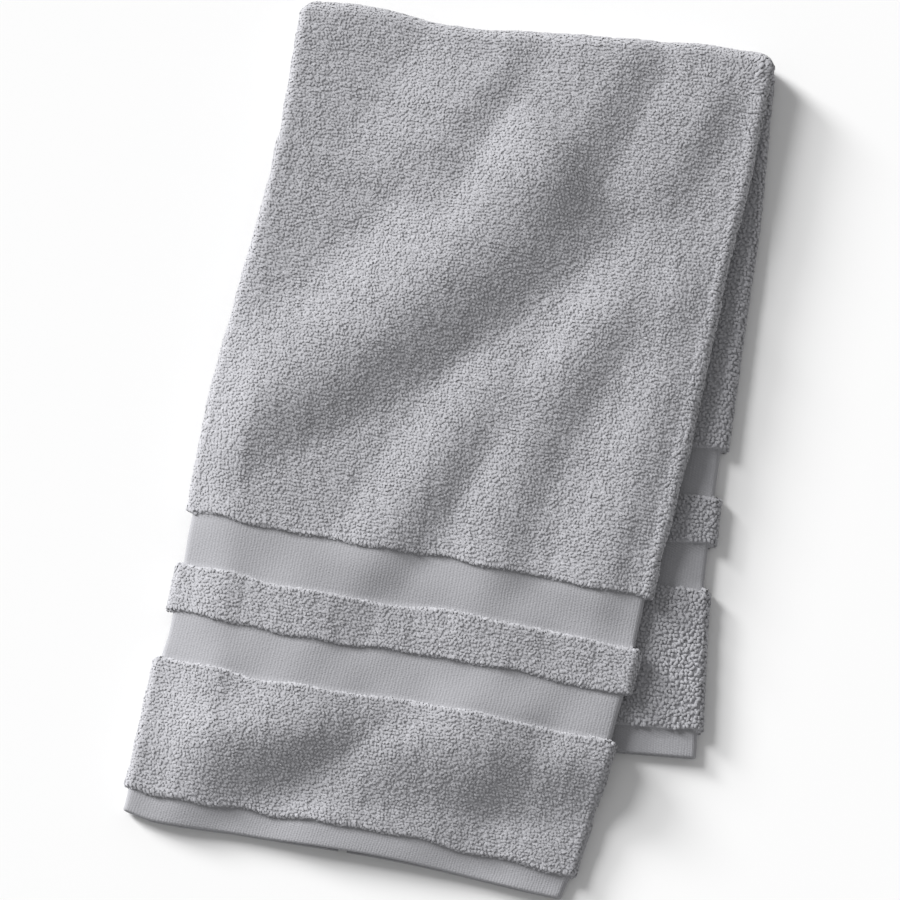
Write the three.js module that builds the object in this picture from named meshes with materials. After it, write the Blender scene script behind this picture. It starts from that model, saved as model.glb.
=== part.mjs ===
// Folded bath towel: one sheet of cotton terry with a hem and two flat-weave borders at each end.
// Both long sides are turned under until they nearly meet. The strip is then folded once across,
// turned sides inside, and lies with its shorter part underneath and the longer part on top.
// Millimetres, +Z up. The origin is on the supporting surface, under the middle of the outline.
// +Y points from the loose ends to the crosswise fold.

import * as THREE from "three";

// Cloth
const CLOTH_WIDTH = 712;
const CLOTH_COLOR = 0xa8a8ad;

// Weaves: thickness, how far the side folds draw in from the pile's outline, and how far the upper
// and the lower layer of a strip sink, because thinner cloth lies closer
const WEAVES = {
  pile: { thick: 6.5, inset: 0, upperDrop: 0, lowerDrop: 0 },
  flat: { thick: 2, inset: 6.4, upperDrop: 1.2, lowerDrop: 0.2 },
  hem: { thick: 3, inset: 4.5, upperDrop: 2, lowerDrop: 0.6 },
};

// Bands from a hem towards the middle, with their lengths as laid. On the front part the creases
// take up some of the end pile.
const BANDS = [
  { weave: "hem", front: 20, back: 21.5 },
  { weave: "pile", front: 109, back: 115.5 },
  { weave: "flat", front: 42, back: 39.5 },
  { weave: "pile", front: 37, back: 38.5 },
  { weave: "flat", front: 44.5, back: 42 },
];
// Length in which the cloth changes from one weave to the next
const BORDER_STEP = 2.5;

// Stack: a strip is the panel with the turned sides against it, and the front strip lies on the back
// strip. Neighbouring layers are a little apart.
const LAYER_PITCH = 7.5;
const BACK_MIDDLE = 7;
const FRONT_MIDDLE = BACK_MIDDLE + 2 * LAYER_PITCH;
const FOLD_HEIGHT = (FRONT_MIDDLE + BACK_MIDDLE) / 2;
const FOLD_RADIUS = LAYER_PITCH;

// Outer edges of the front part in plan, where its pile ends
const FRONT_HEM_Y = -364.5;
const FRONT_SIDES = [
  { y: -364, left: -225.5, right: 142.5 },
  { y: -344, left: -224.5, right: 146.5 },
  { y: -300, left: -224, right: 151.5 },
  { y: -240, left: -223.5, right: 158.5 },
  { y: -176, left: -222.5, right: 163 },
  { y: -86, left: -225, right: 164.5 },
  { y: -16, left: -226, right: 168.5 },
  { y: 44, left: -224, right: 171 },
  { y: 114, left: -219.5, right: 171.5 },
  { y: 184, left: -216.5, right: 172.5 },
  { y: 244, left: -217, right: 176 },
  { y: 304, left: -220.5, right: 176.5 },
  { y: 354, left: -221, right: 177.5 },
];

// Crosswise fold: the ends of its axis in plan. It runs at a slant, so the back part lies turned.
const FOLD_LEFT = new THREE.Vector2(-221.5, 322);
const FOLD_RIGHT = new THREE.Vector2(177.5, 354);
// How far the side folds draw in at the outermost line of the crosswise fold, which rounds the corners
const CORNER_INSET = 11;

// Back part: right end of a section by its distance from the hem, the section's width to the left
// side, and how much it rises to the right
const BACK_SECTIONS = [
  { along: 0, x: 227, y: -230, width: 384, slope: 0.115 },
  { along: 65, x: 218, y: -166, width: 385, slope: 0.11 },
  { along: 120, x: 210.5, y: -111, width: 385, slope: 0.105 },
  { along: 235, x: 202, y: 4, width: 387, slope: 0.098 },
  { along: 372, x: 194.5, y: 141, width: 390, slope: 0.09 },
  { along: 461, x: 190, y: 230, width: 394, slope: 0.084 },
  { along: 587, x: 177.5, y: 354, width: 400.3, slope: 0.0802 },
];

// Waves in plan of the hem, the borders and the crosswise fold: middle, half size and shift along Y
const WAVES = [
  { x: -233.5, y: -364, halfX: 40, halfY: 60, shift: 4 },
  { x: -188.5, y: -364, halfX: 70, halfY: 60, shift: -3.5 },
  { x: 1.5, y: -364, halfX: 130, halfY: 60, shift: 4 },
  { x: -123.5, y: -190, halfX: 130, halfY: 150, shift: -6.5 },
  { x: -173.5, y: 340, halfX: 60, halfY: 110, shift: 3 },
  { x: -70, y: 340, halfX: 88, halfY: 110, shift: -8 },
  { x: 20, y: 340, halfX: 60, halfY: 110, shift: -3 },
  { x: 120, y: 340, halfX: 45, halfY: 110, shift: 2.5 },
];

// Creases of the front panel: soft ridges. Each crest runs from its lower left end to its upper right
// end and bows to the left of that line. Its height is given at the start, middle and end, and the
// widths of its slopes towards the upper left and the lower right at the start and end.
const RIDGES = [
  { from: [-220, -51], to: [11, 221], bow: -16, heights: [5, 12.5, 11.5], upper: [76, 88], lower: [52, 82] },
  { from: [-2, 216], to: [46, 333], bow: -1, heights: [6, 9, 7], upper: [105, 105], lower: [60, 46] },
  { from: [90, 223], to: [128, 312], bow: -2, heights: [2.5, 5, 4.5], upper: [100, 90], lower: [42, 36] },
  { from: [-64, -122], to: [6, 38], bow: 4, heights: [5, 5.5, 3], upper: [46, 46], lower: [40, 34] },
  { from: [23, 27], to: [127, 163], bow: 3, heights: [1.5, 3, 2.5], upper: [50, 60], lower: [60, 60] },
  { from: [27, -108], to: [87, 118], bow: 14, heights: [3, 4, 2.5], upper: [40, 40], lower: [36, 36] },
  { from: [120, -114], to: [158, 143], bow: -1, heights: [3.5, 4, 3.5], upper: [55, 55], lower: [30, 30] },
  { from: [-94, 205], to: [-49, 327], bow: 1, heights: [5, 7.5, 4.5], upper: [70, 70], lower: [40, 40] },
  { from: [-101, -248], to: [-107, -139], bow: 0, heights: [3, 4, 3], upper: [60, 60], lower: [55, 55] },
  { from: [56, -224], to: [26, -138], bow: 0, heights: [3, 3, 3], upper: [60, 60], lower: [60, 60] },
  { from: [-178, -341], to: [-32, -238], bow: 9, heights: [4, 5.4, 3], upper: [60, 60], lower: [46, 32] },
  { from: [-64, -357], to: [20, -247], bow: -4, heights: [4.5, 6.5, 5], upper: [44, 44], lower: [120, 120] },
  { from: [16, -331], to: [67, -241], bow: -5, heights: [1.5, 3, 2.5], upper: [50, 50], lower: [42, 42] },
  { from: [110, -360], to: [140, -257], bow: 1, heights: [1.5, 1.5, 1.5], upper: [50, 50], lower: [30, 30] },
];
// A ridge runs out over this length past its crest's ends
const RIDGE_END = 45;
// Towards the side folds the creases fade over this width to this share, and round the crosswise
// fold they are gone after this turn in radians
const EDGE_FADE = 40;
const EDGE_LIFT = 0.35;
const FOLD_FADE = 1.7;

// Where nothing lies beneath it, the front strip sinks to the floor over this length
const SINK_START = 5;
const SINK_LENGTH = 65;

// Mesh steps across a turned side, round a side fold, across the panel and round the crosswise fold,
// and the longest steps along the front and back parts
const FLAP_STEPS = 4;
const BEND_STEPS = 4;
const PANEL_STEPS = 16;
const FOLD_STEPS = 8;
const FRONT_STEP = 25;
const BACK_STEP = 50;

// Small helpers

const smooth = (t) => THREE.MathUtils.smoothstep(t, 0, 1);
const bump = (t) => (Math.abs(t) < 1 ? (1 - t * t) ** 2 : 0);
const lengthOfBands = (side) => BANDS.reduce((sum, band) => sum + band[side], 0);

// Value of a column between two rows of a table, with soft changes of slope
function tableValue(rows, key, column, at) {
  const last = rows.length - 1;
  let i = 0;
  while (i < last - 1 && at > rows[i + 1][key]) {
    i += 1;
  }
  const slopeAt = (k) => {
    const a = rows[Math.max(0, k - 1)];
    const b = rows[Math.min(last, k + 1)];
    return (b[column] - a[column]) / (b[key] - a[key]);
  };
  const span = rows[i + 1][key] - rows[i][key];
  const t = THREE.MathUtils.clamp((at - rows[i][key]) / span, 0, 1);
  const rise = t * t * (3 - 2 * t);
  const easeIn = t * (1 - t) * (1 - t) * span * slopeAt(i);
  const easeOut = t * t * (t - 1) * span * slopeAt(i + 1);
  return rows[i][column] + (rows[i + 1][column] - rows[i][column]) * rise + easeIn + easeOut;
}

// Shift in plan at a place of the unwaved outline
function waveAt(x, y) {
  return WAVES.reduce((sum, w) => sum + w.shift * bump((x - w.x) / w.halfX) * bump((y - w.y) / w.halfY), 0);
}

// Sections of the strip, each from its left to its right outer edge

const FRONT_BANDS = lengthOfBands("front");
const FRONT_BANDS_Y = FRONT_HEM_Y + FRONT_BANDS;
const FRONT_LENGTH = FRONT_BANDS + (FOLD_LEFT.y + FOLD_RIGHT.y) / 2 - FRONT_BANDS_Y;
const BACK_LENGTH = BACK_SECTIONS.at(-1).along;

function frontSection({ along, weave }) {
  const rise = Math.max(0, along - FRONT_BANDS) / (FRONT_LENGTH - FRONT_BANDS);
  const bandY = FRONT_HEM_Y + Math.min(along, FRONT_BANDS);
  const leftY = bandY + rise * (FOLD_LEFT.y - FRONT_BANDS_Y);
  const rightY = bandY + rise * (FOLD_RIGHT.y - FRONT_BANDS_Y);
  const left = new THREE.Vector2(tableValue(FRONT_SIDES, "y", "left", leftY), leftY);
  const right = new THREE.Vector2(tableValue(FRONT_SIDES, "y", "right", rightY), rightY);
  return { left, right, weave, turn: 0 };
}

function foldSection(turn) {
  const inset = CORNER_INSET * (1 - Math.abs(Math.cos(turn)));
  const drawnIn = FOLD_RIGHT.clone().sub(FOLD_LEFT).setLength(inset);
  const left = FOLD_LEFT.clone().add(drawnIn);
  const right = FOLD_RIGHT.clone().sub(drawnIn);
  return { left, right, weave: "pile", turn };
}

function backSection({ along, weave }) {
  const at = (column) => tableValue(BACK_SECTIONS, "along", column, along);
  const right = new THREE.Vector2(at("x"), at("y"));
  const across = new THREE.Vector2(1, at("slope")).setLength(at("width"));
  const left = right.clone().sub(across);
  return { left, right, weave, turn: Math.PI };
}

const BACK_HEM = backSection({ along: 0, weave: "hem" });

// Distances from a hem of all rows up to the fold, two close together at each border
function stopsAlong(side, length, step) {
  const spans = BANDS.map((band) => ({ weave: band.weave, length: band[side] }));
  spans.push({ weave: "pile", length: length - lengthOfBands(side) });
  const stops = [];
  let start = 0;
  for (const [index, span] of spans.entries()) {
    const first = index === 0 ? start : start + BORDER_STEP / 2;
    const end = start + span.length;
    const last = index === spans.length - 1 ? end : end - BORDER_STEP / 2;
    const count = Math.ceil((last - first) / step);
    for (let k = 0; k <= count; k += 1) {
      stops.push({ along: first + ((last - first) * k) / count, weave: span.weave });
    }
    start = end;
  }
  return stops;
}

function allSections() {
  const front = stopsAlong("front", FRONT_LENGTH, FRONT_STEP).map(frontSection);
  const back = stopsAlong("back", BACK_LENGTH, BACK_STEP).map(backSection).reverse();
  const turns = Array.from({ length: FOLD_STEPS - 1 }, (_, k) => (Math.PI * (k + 1)) / FOLD_STEPS);
  return [...front, ...turns.map(foldSection), ...back];
}

// Cross-section of a strip: turned side, side fold, panel, side fold, turned side.
// Each point has its place across and outwards, the direction of the cloth's outer face, and the
// share of the creases that it takes.
function sectionPoints(section, width) {
  const { thick, inset, upperDrop, lowerDrop } = WEAVES[section.weave];
  const onTop = section.turn < Math.PI / 2;
  const panel = LAYER_PITCH / 2 + (onTop ? -upperDrop : lowerDrop);
  const flap = -LAYER_PITCH / 2 + (onTop ? -lowerDrop : upperDrop);
  const radius = (panel - flap) / 2;
  const middle = (panel + flap) / 2;
  const reach = width / 2 - inset - radius - thick / 2;
  const turned = CLOTH_WIDTH / 2 - reach - Math.PI * radius;
  const points = [];
  const bendTo = (side, from) => {
    for (let k = 1; k < BEND_STEPS; k += 1) {
      const angle = from * (1 - (2 * k) / BEND_STEPS) * (Math.PI / 2);
      const out = Math.sin(angle);
      const away = side * Math.cos(angle);
      const across = side * reach + radius * away;
      const lift = (EDGE_LIFT * (1 + out)) / 2;
      points.push({ across, out: middle + radius * out, face: [away, out], lift });
    }
  };
  const flapTo = (side, from, to) => {
    for (let k = 0; k <= FLAP_STEPS; k += 1) {
      const inward = turned * (from + ((to - from) * k) / FLAP_STEPS);
      points.push({ across: side * (reach - inward), out: flap, face: [0, -1], lift: 0 });
    }
  };
  flapTo(-1, 1, 0);
  bendTo(-1, -1);
  for (let k = 0; k <= PANEL_STEPS; k += 1) {
    const across = reach * ((2 * k) / PANEL_STEPS - 1);
    const inner = smooth((reach - Math.abs(across)) / EDGE_FADE);
    points.push({ across, out: panel, face: [0, 1], lift: EDGE_LIFT + (1 - EDGE_LIFT) * inner });
  }
  bendTo(1, 1);
  flapTo(1, 0, 1);
  return { points, halfThick: thick / 2 };
}

// Creases of the front panel

function ridgeHeight(ridge, x, y) {
  const run = new THREE.Vector2(ridge.to[0] - ridge.from[0], ridge.to[1] - ridge.from[1]);
  const offset = new THREE.Vector2(x - ridge.from[0], y - ridge.from[1]);
  const length = run.length();
  const along = offset.dot(run) / length;
  const t = THREE.MathUtils.clamp(along / length, 0, 1);
  const left = run.cross(offset) / length - ridge.bow * 4 * t * (1 - t);
  const past = Math.max(0, along - length, -along);
  const [start, middle, end] = ridge.heights;
  const height = start * (1 - t) * (1 - 2 * t) + middle * 4 * t * (1 - t) + end * t * (2 * t - 1);
  const [startReach, endReach] = left > 0 ? ridge.upper : ridge.lower;
  const reach = startReach + (endReach - startReach) * t;
  return height * bump(left / reach) * (1 - smooth(past / RIDGE_END));
}

const creaseHeight = (x, y) => RIDGES.reduce((sum, ridge) => sum + ridgeHeight(ridge, x, y), 0);

// Height of the front strip's middle. It sinks past the back part's hem and past its left side.
function frontHeight(x, y) {
  const { left, right } = BACK_HEM;
  const hemY = left.y + ((x - left.x) * (right.y - left.y)) / (right.x - left.x);
  const sideX = left.x + ((y - left.y) * (FOLD_LEFT.x - left.x)) / (FOLD_LEFT.y - left.y);
  const pastHem = Math.max(0, hemY - y - SINK_START);
  const pastSide = Math.max(0, sideX - x - SINK_START);
  const sunk = smooth(Math.hypot(pastHem, pastSide) / SINK_LENGTH);
  return FRONT_MIDDLE - (FRONT_MIDDLE - BACK_MIDDLE) * sunk;
}

// Cloth surface

function placePoint(section, point, offset) {
  const { left, right, turn } = section;
  const along = right.clone().sub(left).normalize();
  const centre = left.clone().add(right).multiplyScalar(0.5);
  const at = (across) => centre.clone().add(along.clone().multiplyScalar(across));
  const middle = at(point.across);
  const place = at(point.across + point.face[0] * offset);
  const out = point.out + point.face[1] * offset;
  place.y += waveAt(middle.x, middle.y);
  const lift = point.lift * creaseHeight(middle.x, middle.y) * (1 - smooth(turn / FOLD_FADE));
  if (turn === 0) {
    return new THREE.Vector3(place.x, place.y, frontHeight(middle.x, middle.y) + out + lift);
  }
  if (turn === Math.PI) {
    return new THREE.Vector3(place.x, place.y, BACK_MIDDLE - out);
  }
  const radius = FOLD_RADIUS + out + lift;
  const forward = Math.sin(turn) * radius;
  const x = place.x - along.y * forward;
  const y = place.y + along.x * forward;
  return new THREE.Vector3(x, y, FOLD_HEIGHT + Math.cos(turn) * radius);
}

function clothGeometry() {
  const outer = [];
  const inner = [];
  for (const section of allSections()) {
    const { points, halfThick } = sectionPoints(section, section.left.distanceTo(section.right));
    outer.push(points.map((point) => placePoint(section, point, halfThick)));
    inner.push(points.map((point) => placePoint(section, point, -halfThick)));
  }
  const rows = outer.length;
  const columns = outer[0].length;
  const vertices = [...outer.flat(), ...inner.flat()];
  const outerAt = (i, j) => i * columns + j;
  const innerAt = (i, j) => (rows + i) * columns + j;
  const faces = [];
  const quad = (a, b, c, d) => {
    const leansBack = Math.abs(vertices[a].z - vertices[c].z) <= Math.abs(vertices[b].z - vertices[d].z);
    faces.push(...(leansBack ? [a, b, c, a, c, d] : [a, b, d, b, c, d]));
  };
  for (let i = 0; i < rows - 1; i += 1) {
    for (let j = 0; j < columns - 1; j += 1) {
      quad(outerAt(i, j), outerAt(i, j + 1), outerAt(i + 1, j + 1), outerAt(i + 1, j));
      quad(innerAt(i, j), innerAt(i + 1, j), innerAt(i + 1, j + 1), innerAt(i, j + 1));
    }
    quad(outerAt(i, 0), outerAt(i + 1, 0), innerAt(i + 1, 0), innerAt(i, 0));
    const j = columns - 1;
    quad(outerAt(i, j), innerAt(i, j), innerAt(i + 1, j), outerAt(i + 1, j));
  }
  for (let j = 0; j < columns - 1; j += 1) {
    quad(outerAt(0, j), innerAt(0, j), innerAt(0, j + 1), outerAt(0, j + 1));
    const i = rows - 1;
    quad(outerAt(i, j), outerAt(i, j + 1), innerAt(i, j + 1), innerAt(i, j));
  }
  const places = vertices.flatMap((vertex) => vertex.toArray());
  const geometry = new THREE.BufferGeometry();
  geometry.setAttribute("position", new THREE.Float32BufferAttribute(places, 3));
  geometry.setIndex(faces);
  geometry.computeVertexNormals();
  return geometry;
}

// Part

const material = new THREE.MeshStandardMaterial({ color: CLOTH_COLOR, roughness: 0.95, metalness: 0 });
const towel = new THREE.Mesh(clothGeometry(), material);
towel.name = "towel";

const part = new THREE.Group();
part.add(towel);

export default part;
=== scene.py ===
# Folded bath towel seen from above: a closed cloth sheet with woven borders and hems, and its terry
# loops as joined meshes of small arched strands. Shape tables are in millimetres, the scene in metres.

import math

import bpy
import numpy as np
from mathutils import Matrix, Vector


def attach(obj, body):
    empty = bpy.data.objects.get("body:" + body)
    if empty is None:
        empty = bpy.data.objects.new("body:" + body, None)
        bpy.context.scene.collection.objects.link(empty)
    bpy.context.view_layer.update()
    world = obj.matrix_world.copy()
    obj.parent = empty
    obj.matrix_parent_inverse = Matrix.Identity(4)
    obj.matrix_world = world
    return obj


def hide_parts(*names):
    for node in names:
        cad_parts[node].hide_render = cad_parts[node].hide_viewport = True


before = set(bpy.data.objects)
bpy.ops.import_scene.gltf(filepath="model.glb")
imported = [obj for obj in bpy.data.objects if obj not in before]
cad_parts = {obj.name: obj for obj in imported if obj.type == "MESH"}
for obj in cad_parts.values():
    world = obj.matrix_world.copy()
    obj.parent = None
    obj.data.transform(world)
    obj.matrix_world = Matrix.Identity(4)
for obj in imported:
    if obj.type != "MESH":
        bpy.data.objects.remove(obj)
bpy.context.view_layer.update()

MM = 0.001
SEED = 20

# Cloth: width and length spread out, distance between two layers, heights of the middles of the back
# and front parts, and the crosswise fold's height and radius
CLOTH_WIDTH = 712
LAYER_PITCH = 7.5
BACK_MIDDLE = 7
FRONT_MIDDLE = BACK_MIDDLE + 2 * LAYER_PITCH
FOLD_HEIGHT = (FRONT_MIDDLE + BACK_MIDDLE) / 2
FOLD_RADIUS = LAYER_PITCH

# Weaves: thickness, how far the side folds draw in, how far the upper and lower layer sink, pile share
PILE = {"thick": 6.5, "inset": 0, "upper": 0, "lower": 0, "pile": 1}
FLAT = {"thick": 2, "inset": 6.4, "upper": 1.2, "lower": 0.2, "pile": 0}
HEM = {"thick": 3, "inset": 4.5, "upper": 2, "lower": 0.6, "pile": 0}
# Bands from a hem towards the middle: weave, length on the front part, length on the back part
BANDS = [
    (HEM, 20, 21.5), (PILE, 109, 115.5), (FLAT, 42, 39.5), (PILE, 37, 38.5), (FLAT, 44.5, 42), (PILE, 0, 0),
]
# Length in which the cloth changes from one weave to the next
BORDER_STEP = 1.6

# Front part: y, left edge, right edge
FRONT_HEM_Y = -364.5
FRONT_SIDES = np.array([
    (-364, -225.5, 142.5), (-344, -224.5, 146.5), (-300, -224, 151.5), (-240, -223.5, 158.5),
    (-176, -222.5, 163), (-86, -225, 164.5), (-16, -226, 168.5), (44, -224, 171), (114, -219.5, 171.5),
    (184, -216.5, 172.5), (244, -217, 176), (304, -220.5, 176.5), (354, -221, 177.5),
])
# Crosswise fold: ends of its axis
FOLD_LEFT = np.array((-221.5, 322))
FOLD_RIGHT = np.array((177.5, 354))
# Back part: distance from its hem, right end x and y, width, rise to the right
BACK_SECTIONS = np.array([
    (0, 227, -230, 384, 0.115), (65, 218, -166, 385, 0.11), (120, 210.5, -111, 385, 0.105),
    (235, 202, 4, 387, 0.098), (372, 194.5, 141, 390, 0.09), (461, 190, 230, 394, 0.084),
    (587, 177.5, 354, 400.3, 0.0802),
])
# Waves in plan: x, y, half width, half length, shift along y
WAVES = [
    (-233.5, -364, 40, 60, 4), (-188.5, -364, 70, 60, -3.5), (1.5, -364, 130, 60, 4),
    (-123.5, -190, 130, 150, -6.5), (-173.5, 340, 60, 110, 3), (-70, 340, 88, 110, -8),
    (20, 340, 60, 110, -3), (120, 340, 45, 110, 2.5),
]
# Creases of the front panel: crest start, crest end, bow, heights at start, middle and end, and the
# widths of the upper and of the lower slope at start and end
RIDGES = [
    ((-220, -51), (11, 221), -16, (5, 12.5, 11.5), (76, 88), (52, 82)),
    ((-2, 216), (46, 333), -1, (6, 9, 7), (105, 105), (60, 46)),
    ((90, 223), (128, 312), -2, (2.5, 5, 4.5), (100, 90), (42, 36)),
    ((-64, -122), (6, 38), 4, (5, 5.5, 3), (46, 46), (40, 34)),
    ((23, 27), (127, 163), 3, (1.5, 3, 2.5), (50, 60), (60, 60)),
    ((27, -108), (87, 118), 14, (3, 4, 2.5), (40, 40), (36, 36)),
    ((120, -114), (158, 143), -1, (3.5, 4, 3.5), (55, 55), (30, 30)),
    ((-94, 205), (-49, 327), 1, (5, 7.5, 4.5), (70, 70), (40, 40)),
    ((-101, -248), (-107, -139), 0, (3, 4, 3), (60, 60), (55, 55)),
    ((56, -224), (26, -138), 0, (3, 3, 3), (60, 60), (60, 60)),
    ((-178, -341), (-32, -238), 9, (4, 5.4, 3), (60, 60), (46, 32)),
    ((-64, -357), (20, -247), -4, (4.5, 6.5, 5), (44, 44), (120, 120)),
    ((16, -331), (67, -241), -5, (1.5, 3, 2.5), (50, 50), (42, 42)),
    ((110, -360), (140, -257), 1, (1.5, 1.5, 1.5), (50, 50), (30, 30)),
]
# A ridge runs out over this length past its crest's ends
RIDGE_END = 45
# How far the side folds draw in at the outermost line of the crosswise fold
CORNER_INSET = 11
# Towards the side folds the creases fade over this width to this share, and round the crosswise fold
# they are gone after this turn in radians
EDGE_FADE = 40
EDGE_LIFT = 0.35
FOLD_FADE = 1.7
# Past the back part's hem and left side nothing lies beneath the front part, and it sinks to the
# floor: how far past them that starts, and over what length
SINK_START = 5
SINK_LENGTH = 65

# Kinds of terry loops: length of a strand in plan, its radius, how high its crown stands over the ground
# weave, the share of the cloth's own direction in its shading, because its fine hairs spread the light,
# the share of the strands that lie along the towel, and how much lighter or, below 0, darker they are.
# The long loops' darker tone is painted shade, standing in for the shade the front part casts on the back
SHORT = {"length": 3.2, "radius": 1.2, "crown": 0.56, "soft": 0.82, "lengthwise": 0, "tone_and_painted_light": 0}
SMOOTH = {"length": 3.2, "radius": 1.2, "crown": 0.5, "soft": 0.88, "lengthwise": 0, "tone_and_painted_light": 0}
COARSE = {"length": 4, "radius": 1.4, "crown": 1.1, "soft": 0.55, "lengthwise": 0.1, "tone_and_painted_light": 0}
# Painted shade: the back part's long loops are darker in colour, for the front part's shade on them
LONG = {"length": 4.1, "radius": 1.5, "crown": 1.4, "soft": 0.52, "lengthwise": 0.5, "tone_and_painted_light": -0.35}
# Flatness of a strand, distances between neighbours in general, in the coarse strip, among the long
# loops and where little shows, and how deep the ground weave lies under the solid's surface
LOOP_FLATNESS = 0.62
LOOP_PITCH = 2.65
EDGE_STRIP_PITCH = 2.5
LONG_PITCH = 3.1
HIDDEN_PITCH = 3.6
LOOP_DEPTH = 1.1
# The corner at the right end of the crosswise fold: where its longer loops fan out from, how far they
# stand, and how much longer and higher they are
CORNER_HEART = (148, 325)
CORNER_MIDDLE = (172, 352)
CORNER_REACH = 48
CORNER_GROWTH = 0.75
# Rows of loops along the borders of the pile: distance between neighbours, spread, and a lighter tone,
# which is a painted highlight for the upright border loops catching the light
EDGE_PITCH = 1.7
EDGE_SPREAD = 1
EDGE_PAINTED_HIGHLIGHT = 0.5
# How far in from its ends the sheet's rim is rounded, and the square of the share of its thickness that
# is left at the very end
RIM_ROUND = 1.5
RIM_THIN = 0.06


def smooth(t):
    t = np.clip(t, 0, 1)
    return t * t * (3 - 2 * t)


def bump(t):
    return np.where(np.abs(t) < 1, (1 - t * t) ** 2, 0)


def table_value(table, column, at):
    """Value of a column between two rows, with soft changes of slope."""
    key, value = table[:, 0], table[:, column]
    last = len(key) - 1
    i = np.searchsorted(key[1:last], at, side="left")
    lower, upper = np.maximum(np.arange(last + 1) - 1, 0), np.minimum(np.arange(last + 1) + 1, last)
    slope = (value[upper] - value[lower]) / (key[upper] - key[lower])
    span = key[i + 1] - key[i]
    t = np.clip((at - key[i]) / span, 0, 1)
    rise = t * t * (3 - 2 * t)
    ease_in = t * (1 - t) ** 2 * span * slope[i]
    ease_out = t * t * (t - 1) * span * slope[i + 1]
    return value[i] + (value[i + 1] - value[i]) * rise + ease_in + ease_out


class Waves:
    """Smooth random field: a sum of plane waves of about one wavelength."""

    def __init__(self, seed, wavelength, count=9):
        rng = np.random.default_rng(seed)
        angle = rng.uniform(0, 2 * math.pi, count)
        number = 2 * math.pi / (wavelength * rng.uniform(0.7, 1.5, count))
        self.kx, self.ky = number * np.cos(angle), number * np.sin(angle)
        self.phase = rng.uniform(0, 2 * math.pi, count)
        self.scale = math.sqrt(2 / count)

    def __call__(self, x, y):
        total = 0
        for kx, ky, phase in zip(self.kx, self.ky, self.phase):
            total = total + np.sin(kx * x + ky * y + phase)
        return self.scale * total

    def slope(self, x, y):
        """How fast the field rises along x and along y."""
        along_x, along_y = 0, 0
        for kx, ky, phase in zip(self.kx, self.ky, self.phase):
            rate = np.cos(kx * x + ky * y + phase)
            along_x, along_y = along_x + kx * rate, along_y + ky * rate
        return self.scale * along_x, self.scale * along_y


FRONT_BORDERS = np.cumsum([band[1] for band in BANDS])[:-1]
BACK_BORDERS = np.cumsum([band[2] for band in BANDS])[:-1]
FRONT_BANDS = FRONT_BORDERS[-1]
FRONT_BANDS_Y = FRONT_HEM_Y + FRONT_BANDS
FRONT_LENGTH = FRONT_BANDS + (FOLD_LEFT[1] + FOLD_RIGHT[1]) / 2 - FRONT_BANDS_Y
BACK_LENGTH = BACK_SECTIONS[-1, 0]
FOLD_ARC = math.pi * (FOLD_RADIUS + LAYER_PITCH / 2 + PILE["thick"] / 2)
BACK_START = FRONT_LENGTH + FOLD_ARC
STRIP_LENGTH = BACK_START + BACK_LENGTH


def from_hem(s):
    """Distance from the nearer hem, and whether that is the front one."""
    on_front = s < FRONT_LENGTH + FOLD_ARC / 2
    return np.where(on_front, s, STRIP_LENGTH - s), on_front


def weave_at(s, name):
    distance, on_front = from_hem(s)
    value = np.full(np.shape(s), float(BANDS[0][0][name]))
    for i, (front, back) in enumerate(zip(FRONT_BORDERS, BACK_BORDERS)):
        change = BANDS[i + 1][0][name] - BANDS[i][0][name]
        share = np.clip((distance - np.where(on_front, front, back)) / BORDER_STEP + 0.5, 0, 1)
        value = value + change * share
    return value


# Sway of the borders: wavelength, size, how far from a border it reaches, and the width that it is
# spread over
BORDER_WAVELENGTH = 60
BORDER_WAVES = [Waves(SEED + k, BORDER_WAVELENGTH) for k in range(2 * len(FRONT_BORDERS))]
BORDER_SWAY = 0.7
BORDER_REACH = 9
BORDER_SPAN = 380


def sway(s, u):
    """Small shift along the strip that makes the borders of the weaves a little uneven."""
    total = np.zeros(np.broadcast(s, u).shape)
    borders = [*FRONT_BORDERS, *(STRIP_LENGTH - BACK_BORDERS)]
    for border, field in zip(borders, BORDER_WAVES):
        total = total + BORDER_SWAY * field(u, 0) * bump((s - border) / BORDER_REACH)
    return total


def ridge_height(x, y):
    total = 0
    for start, end, bow, heights, upper, lower in RIDGES:
        run = np.subtract(end, start)
        length = math.hypot(*run)
        dx, dy = x - start[0], y - start[1]
        along = (dx * run[0] + dy * run[1]) / length
        t = np.clip(along / length, 0, 1)
        left = (run[0] * dy - run[1] * dx) / length - bow * 4 * t * (1 - t)
        past = np.maximum(0, np.maximum(along - length, -along))
        rise, middle, fall = (1 - t) * (1 - 2 * t), 4 * t * (1 - t), t * (2 * t - 1)
        height = heights[0] * rise + heights[1] * middle + heights[2] * fall
        upper_reach = upper[0] + (upper[1] - upper[0]) * t
        lower_reach = lower[0] + (lower[1] - lower[0]) * t
        reach = np.where(left > 0, upper_reach, lower_reach)
        total = total + height * bump(left / reach) * (1 - smooth(past / RIDGE_END))
    return total


def back_ends(along):
    right = np.stack([table_value(BACK_SECTIONS, 1, along), table_value(BACK_SECTIONS, 2, along)], -1)
    slope = table_value(BACK_SECTIONS, 4, along)
    across = np.stack([np.ones_like(slope), slope], -1)
    across = across / np.linalg.norm(across, axis=-1, keepdims=True)
    return right - across * table_value(BACK_SECTIONS, 3, along)[..., None], right


BACK_HEM = [end[0] for end in back_ends(np.zeros(1))]


def front_height(x, y):
    left, right = BACK_HEM
    hem_y = left[1] + (x - left[0]) * (right[1] - left[1]) / (right[0] - left[0])
    side_x = left[0] + (y - left[1]) * (FOLD_LEFT[0] - left[0]) / (FOLD_LEFT[1] - left[1])
    past_hem = np.maximum(0, hem_y - y - SINK_START)
    past_side = np.maximum(0, side_x - x - SINK_START)
    return FRONT_MIDDLE - (FRONT_MIDDLE - BACK_MIDDLE) * smooth(np.hypot(past_hem, past_side) / SINK_LENGTH)


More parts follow.
